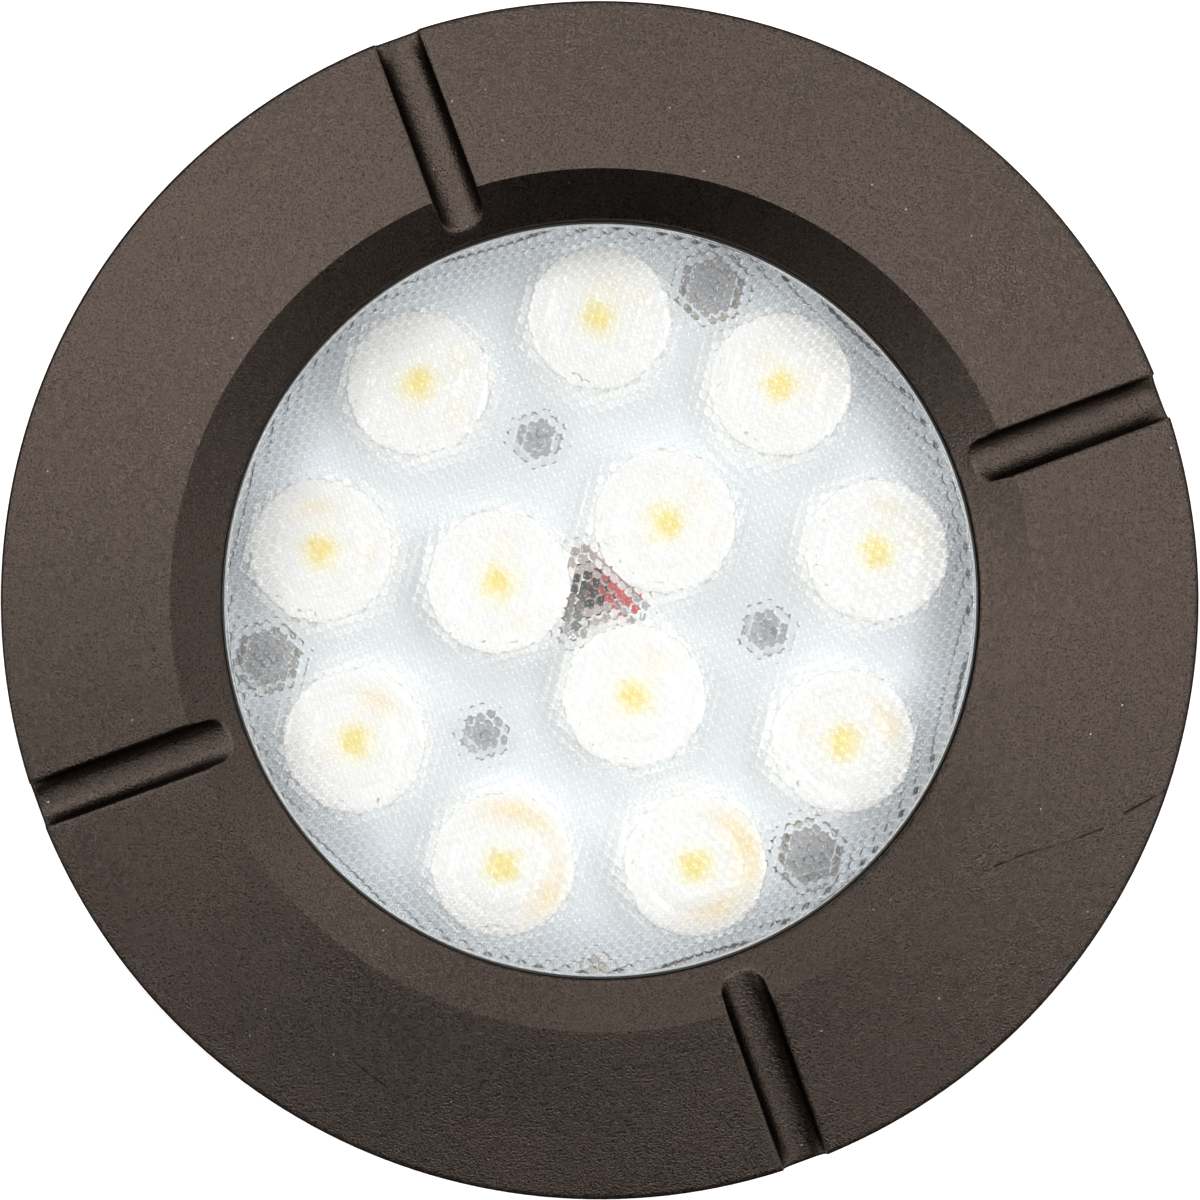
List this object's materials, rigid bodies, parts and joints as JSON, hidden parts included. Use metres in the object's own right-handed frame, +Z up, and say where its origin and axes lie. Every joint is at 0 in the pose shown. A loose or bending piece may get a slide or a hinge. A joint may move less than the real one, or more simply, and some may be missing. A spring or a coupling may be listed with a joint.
{
  "type": "in ground well light",
  "caption": "Round in-ground LED well light: a screw-down cover ring with drain grooves over a glass lens, a finned lamp housing and its open-bottomed burial sleeve.",
  "frame": {"origin": "centre of the sleeve's foot, on the plane that the sleeve stands on", "axes": "+Z up, out of the ground through the glass; +Y towards the top of the light as it is looked down on; +X to its right"},
  "size_m": [0.17, 0.17, 0.137],
  "materials": {
    "bronze_powder_coat": "fine-textured dark bronze powder coat",
    "sleeve_black": "moulded black plastic",
    "cast_aluminium": "bead-blasted die casting",
    "spreader_aluminium": "rolled sheet",
    "lens_glass": "clear tempered glass, honeycomb underside",
    "optic_clear": "clear acrylic",
    "holder_white": "white nylon",
    "board_white": "white solder mask",
    "led_ceramic": "white ceramic",
    "phosphor_yellow": "yellow phosphor",
    "pad_grey": "grey thermal pad",
    "gasket_black": "black silicone",
    "slip_nylon": "dark nylon",
    "screw_steel": "stainless steel",
    "driver_black": "potted black plastic",
    "terminal_white": "natural nylon",
    "terminal_brass": "plain brass",
    "gland_black": "black nylon",
    "wire_red": "red silicone insulation",
    "wire_black": "black silicone insulation",
    "solder": "bright solder"
  },
  "bodies": {
    "sleeve": {"burial_sleeve": "sleeve_black"},
    "lamp": {"lamp_housing": "cast_aluminium", "lens": "lens_glass", "lens_gasket": "gasket_black", "heat_spreader_plate": "spreader_aluminium", "thermal_pad": "pad_grey", "led_board": "board_white", "led_packages": "led_ceramic", "led_phosphors": "phosphor_yellow", "optic_01": "optic_clear", "optic_02": "optic_clear", "optic_03": "optic_clear", "optic_04": "optic_clear", "optic_05": "optic_clear", "optic_06": "optic_clear", "optic_07": "optic_clear", "optic_08": "optic_clear", "optic_09": "optic_clear", "optic_10": "optic_clear", "optic_11": "optic_clear", "optic_12": "optic_clear", "optic_holder_01": "holder_white", "optic_holder_02": "holder_white", "optic_holder_03": "holder_white", "optic_holder_04": "holder_white", "optic_holder_05": "holder_white", "optic_holder_06": "holder_white", "optic_holder_07": "holder_white", "optic_holder_08": "holder_white", "optic_holder_09": "holder_white", "optic_holder_10": "holder_white", "optic_holder_11": "holder_white", "optic_holder_12": "holder_white", "board_screws": "screw_steel", "plate_screws": "screw_steel", "floor_screws": "screw_steel", "driver_case": "driver_black", "terminal_block": "terminal_white", "terminal_screws": "terminal_brass", "red_lead": "wire_red", "black_lead": "wire_black", "solder_joints": "solder", "input_lead_left": "wire_black", "input_lead_right": "wire_black", "gland_body": "gland_black", "gland_washer": "gasket_black", "gland_locknut": "gland_black", "gland_seal": "gasket_black", "gland_nut": "gland_black"},
    "slip": {"friction_ring": "slip_nylon"},
    "cover": {"cover_ring": "bronze_powder_coat"}
  },
  "joints": [
    {"name": "lamp_lift", "type": "slide", "parent": "sleeve", "child": "lamp", "axis": [0, 0, 1], "range_m": [0, 0.1]},
    {"name": "cover_rise", "type": "slide", "parent": "lamp", "child": "slip", "axis": [0, 0, 1], "range_m": [0, 0.009]},
    {"name": "cover_turn", "type": "hinge", "parent": "slip", "child": "cover", "pos_m": [0, 0, 0.125], "axis": [0, 0, 1], "range_deg": [0, 1080]}
  ],
  "couplings": [
    {"joint": "cover_rise", "follows": "cover_turn", "m_per_rad": 0.000477}
  ]
}
